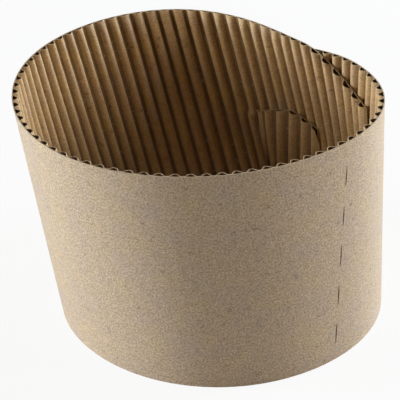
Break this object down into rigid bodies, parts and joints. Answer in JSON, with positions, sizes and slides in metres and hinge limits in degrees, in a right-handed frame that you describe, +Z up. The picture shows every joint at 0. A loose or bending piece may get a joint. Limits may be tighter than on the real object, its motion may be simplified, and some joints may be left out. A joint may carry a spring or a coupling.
{
  "type": "cup sleeve",
  "caption": "Conical band of single-face corrugated kraft board, rolled once and a quarter round with the flutes inside, its ends overlapped and locked by a tongue through a slit.",
  "frame": {"origin": "on the ground under the middle of the sleeve's outline in plan", "axes": "+Z up along the cup's way in, from the narrow lower edge to the wide rim; the perforated fold line and the plain outer wall face -Y, the overlap and its lock are on the +Y side"},
  "size_m": [0.0838, 0.0852, 0.052],
  "materials": {
    "kraft_board": "matt recycled kraft paper"
  },
  "bodies": {
    "root": {"sleeve": "kraft_board"}
  },
  "joints": []
}
